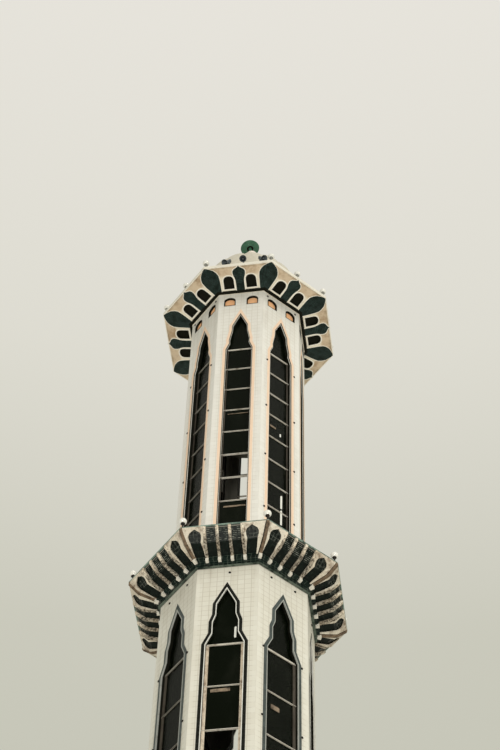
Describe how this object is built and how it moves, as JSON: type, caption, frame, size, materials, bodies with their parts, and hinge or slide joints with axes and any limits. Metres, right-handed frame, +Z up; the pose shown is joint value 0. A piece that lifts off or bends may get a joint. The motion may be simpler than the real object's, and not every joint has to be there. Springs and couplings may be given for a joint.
{
  "type": "1:2 scale model of a minaret",
  "caption": "Half-size model of a tiled octagonal minaret with bracketed galleries, a flared canopy, a ribbed dome and a winding stair inside.",
  "frame": {"origin": "centre of the plinth's flat underside, at ground level", "axes": "+Z up along the shaft, front face and doorway towards -Y, +X to the right"},
  "size_m": [3.503, 3.503, 34.0357],
  "materials": {
    "cream_tile": "small beige-cream wall tiles, satin",
    "white_tile": "small off-white wall tiles, satin",
    "stained_plaster": "weathered plaster, matt",
    "green_mosaic": "dark green mosaic, glossy",
    "black_tile": "black border tile, satin",
    "peach_render": "peach painted render, matt",
    "dome_plaster": "cream plaster, matt",
    "finial_green": "green paint, satin",
    "finial_white": "white paint, satin",
    "lamp_globe": "opal glass",
    "lamp_base": "black paint",
    "horn_metal": "grey paint, worn",
    "dark_concrete": "sooty concrete, matt",
    "plinth_stone": "stone slabs, matt",
    "window_frame": "weathered paint with rust",
    "window_glass": "dark tinted glass"
  },
  "bodies": {
    "root": {"base_stair": "dark_concrete", "base_wall_back_left": "cream_tile", "base_wall_back_right": "cream_tile", "base_wall_front": "cream_tile", "base_wall_front_left": "cream_tile", "base_wall_front_right": "cream_tile", "canopy": "stained_plaster", "canopy_lamps": "lamp_globe", "dome": "dome_plaster", "dome_drum": "dome_plaster", "finial": "finial_green", "gallery_1": "stained_plaster", "gallery_1_lamps": "lamp_globe", "gallery_2": "stained_plaster", "gallery_2_lamps": "lamp_globe", "gallery_3": "stained_plaster", "gallery_3_lamps": "lamp_globe", "horn_back": "horn_metal", "horn_front": "horn_metal", "horn_left": "horn_metal", "horn_right": "horn_metal", "lower_stair": "dark_concrete", "lower_wall_back": "cream_tile", "lower_wall_front": "cream_tile", "lower_wall_left": "cream_tile", "lower_wall_right": "cream_tile", "middle_stair": "dark_concrete", "middle_wall_back": "cream_tile", "middle_wall_back_left": "cream_tile", "middle_wall_back_right": "cream_tile", "middle_wall_front": "cream_tile", "middle_wall_front_left": "cream_tile", "middle_wall_front_right": "cream_tile", "middle_wall_left": "cream_tile", "middle_wall_right": "cream_tile", "plinth": "plinth_stone", "upper_stair": "dark_concrete", "upper_wall_back": "white_tile", "upper_wall_back_left": "white_tile", "upper_wall_back_right": "white_tile", "upper_wall_front": "white_tile", "upper_wall_front_left": "white_tile", "upper_wall_front_right": "white_tile", "upper_wall_left": "white_tile", "upper_wall_right": "white_tile"}
  },
  "joints": []
}
